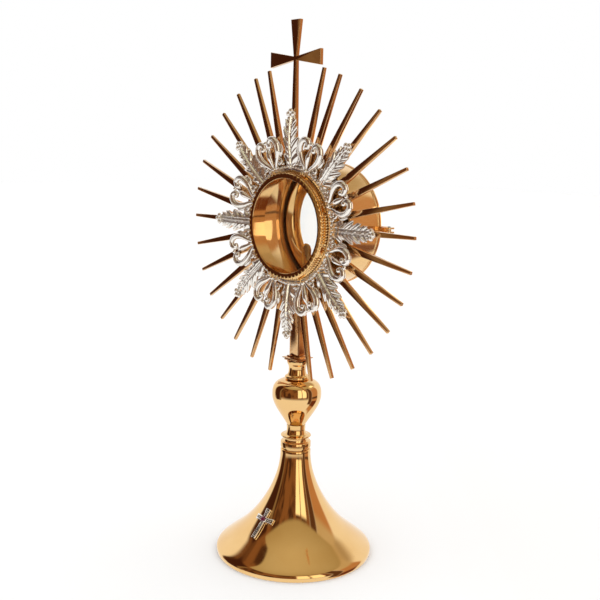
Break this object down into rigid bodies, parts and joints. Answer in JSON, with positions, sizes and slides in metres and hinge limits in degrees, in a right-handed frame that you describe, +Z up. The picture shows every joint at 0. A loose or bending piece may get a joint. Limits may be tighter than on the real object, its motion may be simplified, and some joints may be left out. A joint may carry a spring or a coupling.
{
  "type": "monstrance",
  "caption": "Gilt brass monstrance: trumpet foot, vase knop, sunburst of rays with silver leaf ornament, and a round glazed chamber with a hinged rear door.",
  "frame": {"origin": "centre of the foot's underside, on the stem's axis, where the vessel stands", "axes": "+Z up along the stem, -Y towards the front of the sunburst, +X to the right as seen from the front"},
  "size_m": [0.3, 0.156, 0.519],
  "materials": {
    "gilt": "polished gilt brass with fine hairline scratches",
    "silver": "bright silver-plated casting, darker in its recesses",
    "steel": "plain turned steel",
    "glass": "clear flat glass",
    "garnet": "dark red polished stone"
  },
  "bodies": {
    "vessel": {"foot": "gilt", "foot_cross": "silver", "foot_cross_stone": "garnet", "lower_collar": "gilt", "knop": "gilt", "upper_spool": "gilt", "plinth": "gilt", "post": "gilt", "tie_rod": "steel", "tie_nut": "steel", "sunburst_ring": "gilt", "cross_ray": "gilt", "ray_right_01": "gilt", "ray_right_02": "gilt", "ray_right_03": "gilt", "ray_right_04": "gilt", "ray_right_05": "gilt", "ray_right_06": "gilt", "ray_right_07": "gilt", "ray_right_08": "gilt", "ray_right_09": "gilt", "ray_right_10": "gilt", "ray_right_11": "gilt", "ray_right_12": "gilt", "ray_right_13": "gilt", "ray_right_14": "gilt", "ray_right_15": "gilt", "ray_left_01": "gilt", "ray_left_02": "gilt", "ray_left_03": "gilt", "ray_left_04": "gilt", "ray_left_05": "gilt", "ray_left_06": "gilt", "ray_left_07": "gilt", "ray_left_08": "gilt", "ray_left_09": "gilt", "ray_left_10": "gilt", "ray_left_11": "gilt", "ray_left_12": "gilt", "ray_left_13": "gilt", "ray_left_14": "gilt", "ray_left_15": "gilt", "ornament_1": "silver", "ornament_2": "silver", "ornament_3": "silver", "ornament_4": "silver", "ornament_5": "silver", "ornament_6": "silver", "ornament_7": "silver", "ornament_8": "silver", "front_bezel": "gilt", "front_glass": "glass", "drum": "gilt", "hinge_lug": "gilt", "hinge_pin": "steel", "lunula_rail": "gilt"},
    "rear_door": {"door_ring": "gilt", "door_glass": "glass"},
    "lunula_carrier": {"lunula": "gilt", "lunula_clip": "gilt"}
  },
  "joints": [
    {"name": "rear_door_hinge", "type": "hinge", "parent": "vessel", "child": "rear_door", "pos_m": [0.076, 0.04175, 0.328], "axis": [0, 0, -1], "range_deg": [0, 110]},
    {"name": "lunula_slide", "type": "slide", "parent": "vessel", "child": "lunula_carrier", "axis": [0, 1, 0], "range_m": [-0.006, 0.015]}
  ]
}
